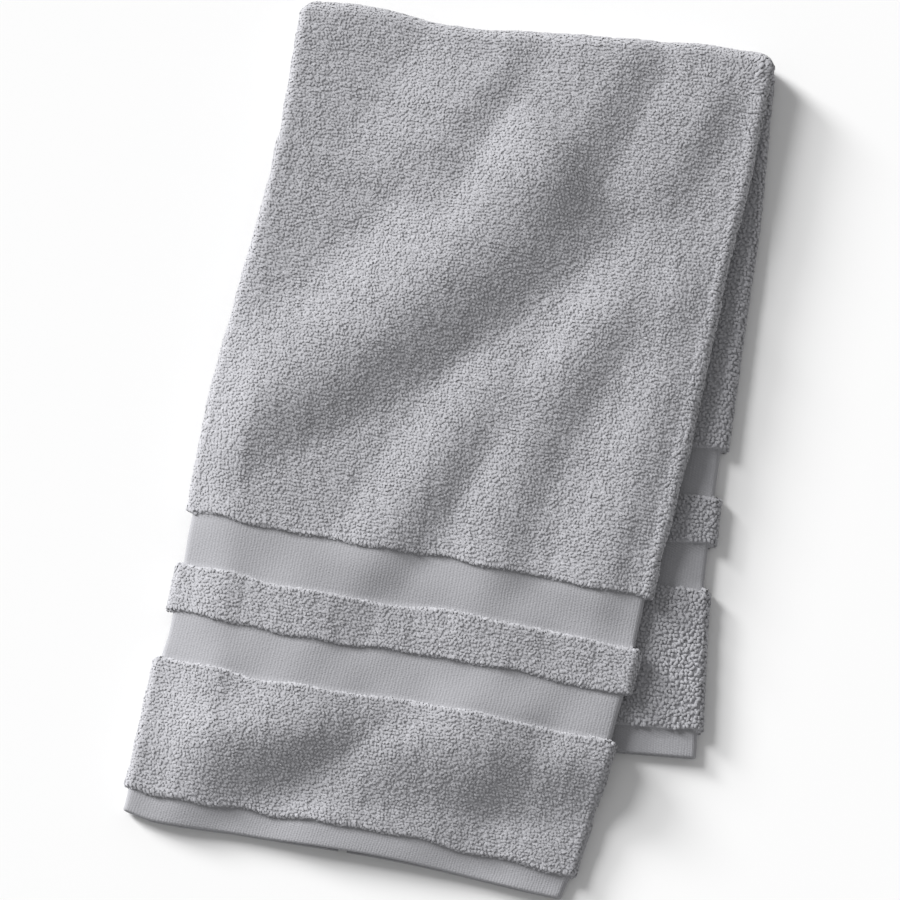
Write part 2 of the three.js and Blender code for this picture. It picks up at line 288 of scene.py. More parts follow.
def strip_at(s):
    """Ends of the section at s, and how far it has turned round the crosswise fold."""
    front = np.clip(s, 0, FRONT_LENGTH)
    rise = np.maximum(0, front - FRONT_BANDS) / (FRONT_LENGTH - FRONT_BANDS)
    band_y = FRONT_HEM_Y + np.minimum(front, FRONT_BANDS)
    left_y = band_y + rise * (FOLD_LEFT[1] - FRONT_BANDS_Y)
    right_y = band_y + rise * (FOLD_RIGHT[1] - FRONT_BANDS_Y)
    left = np.stack([table_value(FRONT_SIDES, 1, left_y), left_y], -1)
    right = np.stack([table_value(FRONT_SIDES, 2, right_y), right_y], -1)
    turn = np.clip((s - FRONT_LENGTH) / FOLD_ARC, 0, 1) * math.pi
    on_back = (s > BACK_START)[..., None]
    in_fold = ((s > FRONT_LENGTH) & (s <= BACK_START))[..., None]
    back_left, back_right = back_ends(np.clip(STRIP_LENGTH - s, 0, BACK_LENGTH))
    left = np.where(on_back, back_left, np.where(in_fold, FOLD_LEFT, left))
    right = np.where(on_back, back_right, np.where(in_fold, FOLD_RIGHT, right))
    inset = (CORNER_INSET * (1 - np.abs(np.cos(turn))))[..., None]
    chord = (right - left) / np.linalg.norm(right - left, axis=-1, keepdims=True)
    return left + chord * inset, right - chord * inset, turn


def section_sizes(s, width):
    """Sizes of the cross-section at s: levels of the panel and the turned sides, and their lengths."""
    on_top = s < FRONT_LENGTH + FOLD_ARC / 2
    upper, lower = weave_at(s, "upper"), weave_at(s, "lower")
    panel = LAYER_PITCH / 2 + np.where(on_top, -upper, lower)
    flap = -LAYER_PITCH / 2 + np.where(on_top, -lower, upper)
    radius = (panel - flap) / 2
    reach = width / 2 - weave_at(s, "inset") - radius - weave_at(s, "thick") / 2
    turned = CLOTH_WIDTH / 2 - reach - math.pi * radius
    return panel, flap, radius, reach, turned


def cloth_point(s, q, offset):
    """Place of the cloth at s along the strip and q across: 0 to 1 is the left turned side, 1 to 2 its
    fold, 2 to 3 the panel, 3 to 4 the right fold, 4 to 5 the right turned side. offset is outwards."""
    s, q, offset = np.broadcast_arrays(np.asarray(s, float), np.asarray(q, float), np.asarray(offset, float))
    left, right, turn = strip_at(s + sway(s, (q - 2.5) * BORDER_SPAN))
    chord = right - left
    width = np.linalg.norm(chord, axis=-1)
    chord = chord / width[..., None]
    panel, flap, radius, reach, turned = section_sizes(s, width)
    middle = (panel + flap) / 2
    side = np.where(q < 2.5, -1, 1)
    p = np.where(q < 2.5, q, 5 - q)
    angle = (p - 1.5) * math.pi
    bent, turned_in = (p > 1) & (p < 2), p <= 1
    outwards = np.where(bent, reach + radius * np.cos(angle), reach * (5 - 2 * p))
    across = side * np.where(turned_in, reach - turned * (1 - p), outwards)
    out = np.where(turned_in, flap, np.where(bent, middle + radius * np.sin(angle), panel))
    face_x = np.where(bent, side * np.cos(angle), 0)
    face_z = np.where(turned_in, -1, np.where(bent, np.sin(angle), 1))
    inner = smooth((reach - np.abs(across)) / EDGE_FADE)
    bend_lift = EDGE_LIFT * (1 + np.sin(angle)) / 2
    panel_lift = EDGE_LIFT + (1 - EDGE_LIFT) * inner
    lift = np.where(turned_in, 0, np.where(bent, bend_lift, panel_lift))
    centre = (left + right) / 2
    mid = centre + chord * across[..., None]
    place = centre + chord * (across + face_x * offset)[..., None]
    out = out + face_z * offset
    x, y = place[..., 0], place[..., 1]
    for wave_x, wave_y, half_x, half_y, shift in WAVES:
        y = y + shift * bump((mid[..., 0] - wave_x) / half_x) * bump((mid[..., 1] - wave_y) / half_y)
    lift = lift * ridge_height(mid[..., 0], mid[..., 1]) * (1 - smooth(turn / FOLD_FADE))
    turn_radius = FOLD_RADIUS + out + lift
    forward = np.sin(turn) * turn_radius
    z = FOLD_HEIGHT + np.cos(turn) * turn_radius
    z = np.where(turn <= 0, front_height(mid[..., 0], mid[..., 1]) + out + lift, z)
    z = np.where(turn >= math.pi, BACK_MIDDLE - out, z)
    return np.stack([x - chord[..., 1] * forward, y + chord[..., 0] * forward, z], -1)


# Where loops stand: round the side folds only this far in under the cloth, and on the back part only
# where it can be seen beside the front part and this far in under it
FLAP_LOOPS = 14
BACK_MARGIN = 14
# Width over which the loops run out, how steeply the back part's rows rise to the right, and the share
# of the turn round the crosswise fold after which the loops stand as on the back part
COVER_FADE = 4
COVER_SLOPE = 0.1
FOLD_SHARE = 0.8
SIDE_ARC = math.pi * (LAYER_PITCH / 2 + PILE["thick"] / 2)


def loop_cover(s, u):
    """1 where loops stand and 0 where the cloth is hidden. u is the distance from the middle of the
    panel along the outer surface."""
    left, right, turn = strip_at(s)
    width = np.linalg.norm(right - left, axis=-1)
    _, _, _, reach, _ = section_sizes(s, width)
    past_fold = np.abs(u) - reach - SIDE_ARC
    front = smooth((FLAP_LOOPS - past_fold) / COVER_FADE)
    edge = table_value(FRONT_SIDES, 2, right[..., 1] - past_fold * COVER_SLOPE)
    seen = right[..., 0] - PILE["thick"] - past_fold - edge
    back_right = smooth((seen + BACK_MARGIN) / COVER_FADE) * (np.abs(u) > reach)
    back_left = smooth((FLAP_LOOPS - past_fold) / COVER_FADE) * (np.abs(u) > reach)
    back = np.where(u > 0, back_right, back_left)
    share = smooth((turn - FOLD_SHARE * math.pi) / ((1 - FOLD_SHARE) * math.pi))
    return front * (1 - share) + back * share


def across_from(s, u):
    """q for a distance u from the middle of the panel along the outer surface."""
    left, right, _ = strip_at(s)
    _, _, _, reach, turned = section_sizes(s, np.linalg.norm(right - left, axis=-1))
    a = np.abs(u)
    on_fold = 0.5 + (a - reach) / SIDE_ARC
    on_flap = 1.5 + (a - reach - SIDE_ARC) / turned
    p = np.where(a <= reach, 0.5 * a / reach, np.where(a <= reach + SIDE_ARC, on_fold, on_flap))
    return 2.5 + np.sign(u) * p


def outer_width(s, q):
    """The other way round: u for q."""
    left, right, _ = strip_at(s)
    _, _, _, reach, turned = section_sizes(s, np.linalg.norm(right - left, axis=-1))
    p = np.abs(q - 2.5)
    on_fold = reach + (p - 0.5) * SIDE_ARC
    on_flap = reach + SIDE_ARC + (p - 1.5) * turned
    return np.sign(q - 2.5) * np.where(p <= 0.5, p * 2 * reach, np.where(p <= 1.5, on_fold, on_flap))


# Unevenness of the cloth's surface: long and short waves, how high they are, and how far from a hem
# they fade
UNEVEN = Waves(SEED + 31, 42)
FINE_UNEVEN = Waves(SEED + 32, 19)
UNEVEN_HEIGHT = 0.35
FINE_HEIGHT = 0.2
UNEVEN_FADE = 10
# Tufts of a few loops each that stand a little higher than their neighbours
TUFTS = Waves(SEED + 33, 7.5, 24)
TUFT_HEIGHT = 0.09


def rim_share(distance):
    """Share of the sheet's thickness at a distance from its end."""
    rim = np.sqrt(np.clip(1 - (1 - distance / RIM_ROUND) ** 2, RIM_THIN, 1))
    return np.where(distance < RIM_ROUND, rim, 1)


def outer_offset(s, u):
    """Height of the cloth's outer surface over its middle: the ground weave under the loops."""
    pile = weave_at(s, "pile")
    drop = LOOP_DEPTH * pile * loop_cover(s, u)
    uneven = UNEVEN_HEIGHT * UNEVEN(u, s) + FINE_HEIGHT * FINE_UNEVEN(u, s) * pile
    distance, _ = from_hem(s)
    rounded = (weave_at(s, "thick") / 2 - drop) * rim_share(distance)
    return rounded + uneven * smooth(distance / UNEVEN_FADE) * turn_share(s)


def turn_share(s):
    """1 on the front part and round the fold, 0 on the back part, which lies flat on the floor."""
    return 1 - smooth((s - FRONT_LENGTH) / FOLD_ARC)


# Cloth sheet

# Distances of the first rows from a hem's end
RIM_ROWS = [0, 0.35, 0.8, RIM_ROUND]
# Share of the border step that lies between a band's last row and the middle of the border
BORDER_ROW = 0.6


def stops(borders, length, step, band_step):
    """Rows from a hem to the fold: close together at the rim and at each border."""
    rows = list(RIM_ROWS)
    gap = BORDER_ROW * BORDER_STEP
    edges = [RIM_ROUND + BORDER_STEP, *borders, length]
    for start, end, fine in zip(edges[:-1], edges[1:], [*[band_step] * len(borders), step]):
        first, last = start + gap, end - (gap if end < length else 0)
        rows.extend(np.linspace(first, last, max(2, math.ceil((last - first) / fine) + 1)))
        if end < length:
            rows.append(end)
    return rows


# Steps across the panel, round a side fold and across a turned side, longest steps along the front and
# along the back part, each past the last border and within the bands, and rows round the crosswise fold
PANEL_STEPS = 70
FOLD_STEPS = 9
FLAP_STEPS = 8
FRONT_STEPS = (5.5, 4.5)
BACK_STEPS = (14, 12)
FOLD_ROWS = 12


def cloth_sheet():
    front = stops(FRONT_BORDERS, FRONT_LENGTH, *FRONT_STEPS)
    back = [STRIP_LENGTH - row for row in stops(BACK_BORDERS, BACK_LENGTH, *BACK_STEPS)][::-1]
    fold = list(np.linspace(FRONT_LENGTH, BACK_START, FOLD_ROWS + 2)[1:-1])
    rows = np.array([*front, *fold, *back])
    columns = np.concatenate([
        np.linspace(0, 1, FLAP_STEPS + 1), np.linspace(1, 2, FOLD_STEPS + 1)[1:],
        np.linspace(2, 3, PANEL_STEPS + 1)[1:], np.linspace(3, 4, FOLD_STEPS + 1)[1:],
        np.linspace(4, 5, FLAP_STEPS + 1)[1:],
    ])
    s, q = np.meshgrid(rows, columns, indexing="ij")
    u = outer_width(s, q)
    distance, _ = from_hem(s)
    outer = cloth_point(s, q, outer_offset(s, u))
    inner = cloth_point(s, q, -weave_at(s, "thick") / 2 * rim_share(distance))
    nr, nc = s.shape
    layer = nr * nc
    index = np.arange(layer).reshape(nr, nc)
    a, b, c, d = index[:-1, :-1], index[:-1, 1:], index[1:, 1:], index[1:, :-1]
    top = np.stack([a, b, c, d], -1).reshape(-1, 4)
    under = np.stack([a, d, c, b], -1).reshape(-1, 4) + layer
    rims = []
    for j, turned in ((0, False), (nc - 1, True)):
        e, f = index[:-1, j], index[1:, j]
        rims.append(np.stack([e, e + layer, f + layer, f] if turned else [e, f, f + layer, e + layer], -1))
    for i, turned in ((0, False), (nr - 1, True)):
        e, f = index[i, :-1], index[i, 1:]
        rims.append(np.stack([e, f, f + layer, e + layer] if turned else [e, e + layer, f + layer, f], -1))
    faces = np.concatenate([top, under, *rims])
    verts = np.concatenate([outer.reshape(-1, 3), inner.reshape(-1, 3)])
    cloth_uv = np.concatenate([np.stack([u, s], -1).reshape(-1, 2)] * 2)
    mid_s = s.reshape(-1)[faces % layer].mean(1)
    return verts, faces, cloth_uv, mid_s


def mesh_object(name, verts, faces, smooth_faces=True):
    mesh = bpy.data.meshes.new(name)
    sides = faces.shape[1]
    mesh.vertices.add(len(verts))
    mesh.vertices.foreach_set("co", (verts * MM).astype(np.float32).ravel())
    mesh.loops.add(faces.size)
    mesh.loops.foreach_set("vertex_index", faces.astype(np.int32).ravel())
    mesh.polygons.add(len(faces))
    mesh.polygons.foreach_set("loop_start", np.arange(0, faces.size, sides, dtype=np.int32))
    mesh.polygons.foreach_set("use_smooth", np.full(len(faces), smooth_faces))
    mesh.update(calc_edges=True)
    mesh.validate()
    piece = bpy.data.objects.new(name, mesh)
    bpy.context.scene.collection.objects.link(piece)
    return piece


# Loops

# Direction of the strands: long and short waves and how far they turn it, and the place, reach and
# angles of its change over the middle of the front part
COMB = Waves(SEED + 41, 95)
COMB_FINE = Waves(SEED + 42, 30)
COMB_SWAY = 0.6
COMB_FINE_SWAY = 0.4
COMB_MIDDLE = (10, 60)
COMB_REACH = 330
COMB_EDGE_ANGLE = 20
COMB_MIDDLE_ANGLE = 35


def comb_angle(x, y):
    """Direction in which the strands lie, from the cloth's width towards its length."""
    centre = bump(np.clip(np.hypot(x - COMB_MIDDLE[0], y - COMB_MIDDLE[1]) / COMB_REACH, 0, 1))
    angle = math.radians(COMB_EDGE_ANGLE) + math.radians(COMB_MIDDLE_ANGLE) * centre
    return angle + COMB_SWAY * COMB(x, y) + COMB_FINE_SWAY * COMB_FINE(x, y)


# Strands this near to a border lie along the towel, and over the next few millimetres they turn away
LENGTHWISE_WIDTH = 2
LENGTHWISE_FADE = 3


def border_nearness(s):
    """1 at a border of the pile and 0 away from it."""
    borders = np.array([*FRONT_BORDERS, *(STRIP_LENGTH - BACK_BORDERS)])
    return 1 - smooth((np.abs(s[:, None] - borders).min(1) - LENGTHWISE_WIDTH) / LENGTHWISE_FADE)


# Strand along its length: share of the half length, height share, radius share
STRAND = np.array([(-1, -0.6, 0), (-0.42, 0.85, 1), (0.42, 0.85, 1), (1, -0.6, 0)])
STRAND_SIDES = 4
# Random spreads: shift from the grid in shares of the pitch, the same in a border row, and the cover
# that a loop needs in order to stand
GRID_JITTER = 0.36
ROW_JITTER = 0.4
COVER_DRAW = (0.2, 0.8)
# Random spreads of a strand: its angle, the same where it lies lengthwise and in the corner's fan, the
# nearness to the corner beyond which all strands join the fan, the shares of its length, crown and
# radius, and how it curls, snakes and leans, with the turn of a snaking strand in radians
ANGLE_SPREAD = 0.62
LENGTHWISE_SPREAD = 0.25
FAN_SPREAD = 0.3
FAN_DRAW = 0.8
LENGTH_RANGE = (0.75, 1.25)
CROWN_RANGE = (0.62, 1.2)
RADIUS_RANGE = (0.82, 1.15)
CURL = 0.4
SNAKE = 0.3
SNAKE_TURN = 2.4
LEAN = 0.35
# Distance to either side over which the directions of the cloth are measured
PROBE = 0.8


def scatter(s_from, s_to, u_from, u_to, pitch, rng):
    """Jittered grid of places on the cloth where loops stand."""
    rows = max(1, round((s_to - s_from) / pitch))
    columns = max(1, round((u_to - u_from) / pitch))
    i, j = np.meshgrid(np.arange(rows), np.arange(columns), indexing="ij")
    shift = (i % 2) * 0.5
    s = s_from + (i + 0.5 + rng.uniform(-GRID_JITTER, GRID_JITTER, i.shape)) * (s_to - s_from) / rows
    place = j + 0.25 + shift + rng.uniform(-GRID_JITTER, GRID_JITTER, i.shape)
    u = u_from + place * (u_to - u_from) / columns
    s, u = s.ravel(), u.ravel()
    keep = rng.uniform(*COVER_DRAW, s.shape) < loop_cover(s, u)
    return s[keep], u[keep]


def edge_row(border, u_from, u_to, rng):
    """Places of the close row of loops along a border of the pile."""
    count = round((u_to - u_from) / EDGE_PITCH)
    place = np.arange(count) + 0.5 + rng.uniform(-ROW_JITTER, ROW_JITTER, count)
    u = u_from + place * (u_to - u_from) / count
    s = border + rng.uniform(-EDGE_SPREAD, EDGE_SPREAD, count)
    keep = rng.uniform(*COVER_DRAW, count) < loop_cover(s, u)
    return s[keep], u[keep]


def cloth_directions(s, u, q, off):
    """Place on the cloth, its directions along the strip and across, and its outward direction."""
    place = cloth_point(s, q, off)
    along_s = cloth_point(s + PROBE, q, off) - cloth_point(s - PROBE, q, off)
    q_next, q_back = across_from(s, u + PROBE), across_from(s, u - PROBE)
    along_u = cloth_point(s, q_next, off) - cloth_point(s, q_back, off)
    normal = np.cross(along_u, along_s)
    normal /= np.linalg.norm(normal, axis=1, keepdims=True)
    along_s /= np.linalg.norm(along_s, axis=1, keepdims=True)
    return place, along_s, np.cross(along_s, normal), normal


def strand_faces():
    """Faces of one strand, and how many vertices it has: its rings, then its two tips."""
    ring_count = len(STRAND) - 2
    per = ring_count * STRAND_SIDES + 2
    last = (ring_count - 1) * STRAND_SIDES
    faces = []
    for r in range(ring_count - 1):
        for k in range(STRAND_SIDES):
            a, b = r * STRAND_SIDES + k, r * STRAND_SIDES + (k + 1) % STRAND_SIDES
            c, d = b + STRAND_SIDES, a + STRAND_SIDES
            faces += [(a, b, c), (a, c, d)]
    for k in range(STRAND_SIDES):
        after = (k + 1) % STRAND_SIDES
        faces += [(per - 2, after, k), (per - 1, last + k, last + after)]
    return np.array(faces), per


def loops_mesh(s, u, kind, rng):
    """Vertices and faces of arched strands at the places s, u, then the number of vertices of one strand
    and the cloth's outward direction at each vertex."""
    count = len(s)
    off = outer_offset(s, u) + TUFT_HEIGHT * TUFTS(u, s)
    place, along_s, along_u, normal = cloth_directions(s, u, across_from(s, u), off)
    rise_u, rise_s = TUFTS.slope(u, s)
    cloth_normal = normal - TUFT_HEIGHT * (rise_u[:, None] * along_u + rise_s[:, None] * along_s)
    cloth_normal /= np.linalg.norm(cloth_normal, axis=1, keepdims=True)
    angle = comb_angle(place[:, 0], place[:, 1]) + rng.normal(0, ANGLE_SPREAD, count)
    near = border_nearness(s)
    lengthwise = np.where(rng.uniform(0, 1, count) < kind["lengthwise"], 1, near)
    straight = math.pi / 2 + rng.normal(0, LENGTHWISE_SPREAD, count)
    angle = angle * (1 - lengthwise) + straight * lengthwise
    from_corner = np.hypot(place[:, 0] - CORNER_MIDDLE[0], place[:, 1] - CORNER_MIDDLE[1])
    corner = bump(from_corner / CORNER_REACH)
    away = place - np.array((*CORNER_HEART, FRONT_MIDDLE))
    fan = np.arctan2((away * along_s).sum(1), (away * along_u).sum(1)) + rng.normal(0, FAN_SPREAD, count)
    angle = np.where(rng.uniform(0, FAN_DRAW, count) < corner, fan, angle)
    grown = 1 + CORNER_GROWTH * corner
    run = np.cos(angle)[:, None] * along_u + np.sin(angle)[:, None] * along_s
    side = np.cross(normal, run)
    length = kind["length"] * grown * rng.uniform(*LENGTH_RANGE, count) / 2
    crown = kind["crown"] * grown * rng.uniform(*CROWN_RANGE, count)
    radius = kind["radius"] * rng.uniform(*RADIUS_RANGE, count)
    curl = rng.normal(0, CURL, count)
    snake = rng.normal(0, SNAKE, count)
    lean = rng.normal(0, LEAN, count)
    share, rise, thick = STRAND.T
    x = length[:, None] * share
    z = crown[:, None] * rise
    bend = curl[:, None] * (0.5 - share**2) + snake[:, None] * np.sin(share * SNAKE_TURN)
    y = bend + lean[:, None] * z
    centre = (
        place[:, None] + x[..., None] * run[:, None]
        + y[..., None] * side[:, None] + z[..., None] * normal[:, None]
    )
    tangent = np.gradient(centre, axis=1)
    tangent /= np.linalg.norm(tangent, axis=2, keepdims=True)
    ring_side = np.cross(normal[:, None], tangent)
    ring_side /= np.linalg.norm(ring_side, axis=2, keepdims=True)
    ring_up = np.cross(tangent, ring_side)
    turn = np.arange(STRAND_SIDES) * 2 * math.pi / STRAND_SIDES + math.pi / 4
    ring = slice(1, len(STRAND) - 1)
    size = radius[:, None] * thick
    rings = centre[:, ring, None] + size[:, ring, None, None] * (
        np.cos(turn)[:, None] * ring_side[:, ring, None]
        + LOOP_FLATNESS * np.sin(turn)[:, None] * ring_up[:, ring, None]
    )
    verts = np.concatenate([rings.reshape(count, -1, 3), centre[:, :1], centre[:, -1:]], axis=1)
    faces, per = strand_faces()
    faces = faces[None] + np.arange(count)[:, None, None] * per
    return verts.reshape(-1, 3), faces.reshape(-1, 3), per, np.repeat(cloth_normal, per, axis=0)


def pile_piece(name, kind, patches, borders, seed):
    """One piece from several patches of loops, each s_from, s_to, u_from, u_to and pitch, and from the
    close rows along borders, each border, u_from, u_to."""
    rng = np.random.default_rng(seed)
    places = [scatter(*patch, rng) for patch in patches]
    inner = sum(len(place[0]) for place in places)
    places += [edge_row(*row, rng) for row in borders]
    s = np.concatenate([p[0] for p in places])
    u = np.concatenate([p[1] for p in places])
    verts, faces, per, cloth_normal = loops_mesh(s, u, kind, rng)
    piece = mesh_object(name, verts, faces)
    own = np.empty(len(verts) * 3, dtype=np.float32)
    piece.data.vertex_normals.foreach_get("vector", own)
    soft = own.reshape(-1, 3) * (1 - kind["soft"]) + cloth_normal * kind["soft"]
    soft /= np.linalg.norm(soft, axis=1, keepdims=True)
    piece.data.normals_split_custom_set_from_vertices(soft)
    # Each loop's random tone plus its kind's share, which below 0 is painted shade
    tone_and_painted_light = rng.uniform(0, 1, len(s)) + kind["tone_and_painted_light"]
    # Painted highlight: the loops in the rows along the borders are lighter, as if catching the light
    tone_and_painted_light[inner:] += EDGE_PAINTED_HIGHLIGHT
    tone_and_painted_light = np.repeat(tone_and_painted_light, per).astype(np.float32)
    piece.data.attributes.new("tone_and_painted_light", "FLOAT", "POINT").data.foreach_set("value", tone_and_painted_light)
    print(name, "loops", len(s), "triangles", len(faces))
    return piece


# Materials

def new_material(name):
    material = bpy.data.materials.new(name)
    material.use_nodes = True
    nodes, links = material.node_tree.nodes, material.node_tree.links
    shader = nodes["Principled BSDF"]
    return material, nodes, links, shader


def math_node(nodes, links, operation, a, b=None):
    node = nodes.new("ShaderNodeMath")
    node.operation = operation
    for socket, value in zip(node.inputs, (a, b)):
        if value is None:
            continue
        if isinstance(value, (int, float)):
            socket.default_value = value
        else:
            links.new(value, socket)
    return node.outputs[0]


def noise(nodes, links, vector, scale, detail=2):
    node = nodes.new("ShaderNodeTexNoise")
    node.inputs["Scale"].default_value = scale
    node.inputs["Detail"].default_value = detail
    links.new(vector, node.inputs["Vector"])
    return node.outputs["Fac"]


def colour_ramp(nodes, links, value, tones):
    node = nodes.new("ShaderNodeValToRGB")
    ramp = node.color_ramp
    ramp.elements[0].position, ramp.elements[0].color = tones[0][0], (*tones[0][1], 1)
    ramp.elements[1].position, ramp.elements[1].color = tones[-1][0], (*tones[-1][1], 1)
    for position, colour in tones[1:-1]:
        ramp.elements.new(position).color = (*colour, 1)
    links.new(value, node.inputs["Fac"])
    return node.outputs["Color"]


def bump_node(nodes, links, height, distance, shader):
    node = nodes.new("ShaderNodeBump")
    node.inputs["Distance"].default_value = distance
    node.inputs["Strength"].default_value = 1
    links.new(height, node.inputs["Height"])
    links.new(node.outputs["Normal"], shader.inputs["Normal"])


# How much more blue than red the cotton holds
COOL = 1.055


def grey(level):
    return (level, level, level * COOL)


def set_cotton(shader, sheen):
    shader.inputs["Roughness"].default_value = 0.95
    shader.inputs["Specular IOR Level"].default_value = 0.2
    shader.inputs["Sheen Weight"].default_value = sheen
    shader.inputs["Sheen Roughness"].default_value = 0.6


# Colours along the tone of the loops, the knots of the ground weave and the relief of the flat weaves.
# Where the knots, the flat weaves' ribs, grains and lumps, or a loop's fibres lie low, the colour is darker:
# painted shade in their hollows
LOOP_TONES = [(0.2, grey(0.395)), (0.5, grey(0.425)), (0.8, grey(0.46)), (1, grey(0.54))]
GROUND_TONES_AND_SHADE = [(0.3, grey(0.41)), (0.7, grey(0.47))]
FLAT_TONES_AND_SHADE = [(0, grey(0.31)), (0.5, grey(0.35)), (1, grey(0.38))]
# Pitches of the ribs and of the grains along them, in metres
RIB_PITCHES = {"flat weave": (0.0026, 0.0021), "hem weave": (0.0023, 0.0019)}
# Scales of the noise that makes fibres, patches of tone, knots, the ribs' drift, the grains' slip and lumps
FIBRE_SCALE = 900
PATCH_SCALE = 28
KNOT_SCALE = 420
DRIFT_SCALE = 110
SLIP_SCALE = 260
LUMP_SCALE = 520
# Weights of a loop's own tone, its fibres and the patches in its colour, and of ribs, grains and lumps in
# the height of a flat weave
TONE_WEIGHT = 0.5
FIBRE_WEIGHT = 0.3
PATCH_WEIGHT = 0.2
RIB_WEIGHT = 0.17
GRAIN_WEIGHT = 0.3
LUMP_WEIGHT = 0.6
# Depth of the relief in metres
FIBRE_RELIEF = 0.0002
KNOT_RELIEF = 0.0016
RIB_RELIEF = 0.0005
# How far the ribs drift sideways in metres, and how far the grains slip along them in radians
RIB_DRIFT = 0.0022
GRAIN_SLIP = 5


def loop_material():
    material, nodes, links, shader = new_material("terry loops")
    set_cotton(shader, 0.25)
    point = nodes.new("ShaderNodeTexCoord").outputs["Object"]
    tone_and_painted_light = nodes.new("ShaderNodeAttribute")
    tone_and_painted_light.attribute_name = "tone_and_painted_light"
    fibres = noise(nodes, links, point, FIBRE_SCALE, 3)
    patches = noise(nodes, links, point, PATCH_SCALE)
    mixed = math_node(nodes, links, "MULTIPLY", tone_and_painted_light.outputs["Fac"], TONE_WEIGHT)
    for part, weight in ((fibres, FIBRE_WEIGHT), (patches, PATCH_WEIGHT)):
        mixed = math_node(nodes, links, "ADD", mixed, math_node(nodes, links, "MULTIPLY", part, weight))
    # The fibres give both bump and colour: darker where they lie low, which is painted shade; the loop's own
    # tone and the patches are tone that differs at random
    links.new(colour_ramp(nodes, links, mixed, LOOP_TONES), shader.inputs["Base Color"])
    bump_node(nodes, links, fibres, FIBRE_RELIEF, shader)
    return material


def ground_material():
    material, nodes, links, shader = new_material("terry ground")
    set_cotton(shader, 0.2)
    point = nodes.new("ShaderNodeTexCoord").outputs["Object"]
    knots = noise(nodes, links, point, KNOT_SCALE)
    # Painted shade: the colour follows the knots' height, darker in the hollows between them
    links.new(colour_ramp(nodes, links, knots, GROUND_TONES_AND_SHADE), shader.inputs["Base Color"])
    bump_node(nodes, links, knots, KNOT_RELIEF, shader)
    return material


def rib_material(name, pitch, grain):
    """Flat weave: ribs along the towel, each a row of short slanted grains. Pitches are in metres."""
    material, nodes, links, shader = new_material(name)
    set_cotton(shader, 0.15)
    uv = nodes.new("ShaderNodeUVMap")
    uv.uv_map = "cloth"
    point = nodes.new("ShaderNodeTexCoord").outputs["Object"]
    split = nodes.new("ShaderNodeSeparateXYZ")
    links.new(uv.outputs["UV"], split.inputs[0])
    drift = math_node(nodes, links, "MULTIPLY", noise(nodes, links, point, DRIFT_SCALE), RIB_DRIFT)
    across = math_node(nodes, links, "ADD", split.outputs[0], drift)
    rib = math_node(nodes, links, "SINE", math_node(nodes, links, "MULTIPLY", across, 2 * math.pi / pitch))
    slip = math_node(nodes, links, "MULTIPLY", noise(nodes, links, point, SLIP_SCALE), GRAIN_SLIP)
    along = math_node(nodes, links, "MULTIPLY", split.outputs[1], 2 * math.pi / grain)
    slant = math_node(nodes, links, "MULTIPLY", across, math.pi / pitch)
    along = math_node(nodes, links, "ADD", along, slant)
    grains = math_node(nodes, links, "SINE", math_node(nodes, links, "ADD", along, slip))
    raised = math_node(nodes, links, "ADD", math_node(nodes, links, "MULTIPLY", rib, RIB_WEIGHT), 0.5)
    beads = math_node(nodes, links, "ADD", math_node(nodes, links, "MULTIPLY", grains, GRAIN_WEIGHT), 0.5)
    height = math_node(nodes, links, "MULTIPLY", raised, beads)
    lumps = noise(nodes, links, point, LUMP_SCALE)
    lumps = math_node(nodes, links, "MULTIPLY", lumps, LUMP_WEIGHT)
    height = math_node(nodes, links, "ADD", lumps, height)
    # Painted shade: the colour follows the weave's height, darker in the grooves between ribs and grains and
    # on the lower lumps
    links.new(colour_ramp(nodes, links, height, FLAT_TONES_AND_SHADE), shader.inputs["Base Color"])
    bump_node(nodes, links, height, RIB_RELIEF, shader)
    return material


# Cloth piece

verts, faces, cloth_uv, mid_s = cloth_sheet()
cloth = mesh_object("towel_cloth", verts, faces)
uv_layer = cloth.data.uv_layers.new(name="cloth")
uv_layer.data.foreach_set("uv", (cloth_uv[faces.ravel()] * MM).astype(np.float32).ravel())
cloth.data.materials.append(ground_material())
for name, pitches in RIB_PITCHES.items():
    cloth.data.materials.append(rib_material(name, *pitches))
# Order of the materials, and how far past its border a hem's weave reaches
GROUND_SLOT, FLAT_SLOT, HEM_SLOT = range(3)
HEM_MARGIN = 2
pile_share = weave_at(mid_s, "pile")
hem_distance, _ = from_hem(mid_s)
woven = np.where(hem_distance < FRONT_BORDERS[0] + HEM_MARGIN, HEM_SLOT, FLAT_SLOT)
slots = np.where(pile_share > 0.5, GROUND_SLOT, woven)
cloth.data.polygons.foreach_set("material_index", slots.astype(np.int32))
print("cloth faces", len(faces))

# Pile pieces

# Half widths along the outer surface: of the flat panel, of the pile that runs round the side folds, with
# some to spare, and of the back part's hidden middle
PANEL_HALF = 193
PANEL_SPARE = 3
HIDDEN_INSET = 12
HALF = PANEL_HALF + PANEL_SPARE + SIDE_ARC + FLAP_LOOPS
HIDDEN_HALF = PANEL_HALF - HIDDEN_INSET
# The back part's pile reaches this much further under on its right, where it shows
BACK_FURTHER = 80
# The coarse strip along the right edge: how far it reaches inwards and outwards from the panel's side
STRIP_IN = 8
STRIP_OUT = 4
# How far the patches stay off a border, and how far the rows at lower borders stand in from it
BORDER_GAP = 0.8
LOWER_ROW = 0.6
# The main pile starts at the last border and is cut into pieces of equal length
MAIN_PARTS = 3
MAIN_FROM = FRONT_BORDERS[4]
MAIN_CUTS = [MAIN_FROM + k * (FRONT_LENGTH - MAIN_FROM) / MAIN_PARTS for k in range(MAIN_PARTS + 1)]
# Bands of pile on the back part, as distances from its hem
BACK_BANDS = (
    (BACK_BORDERS[0], BACK_BORDERS[1]),
    (BACK_BORDERS[2], BACK_BORDERS[3]),
    (BACK_BORDERS[4], BACK_LENGTH - BORDER_GAP),
)


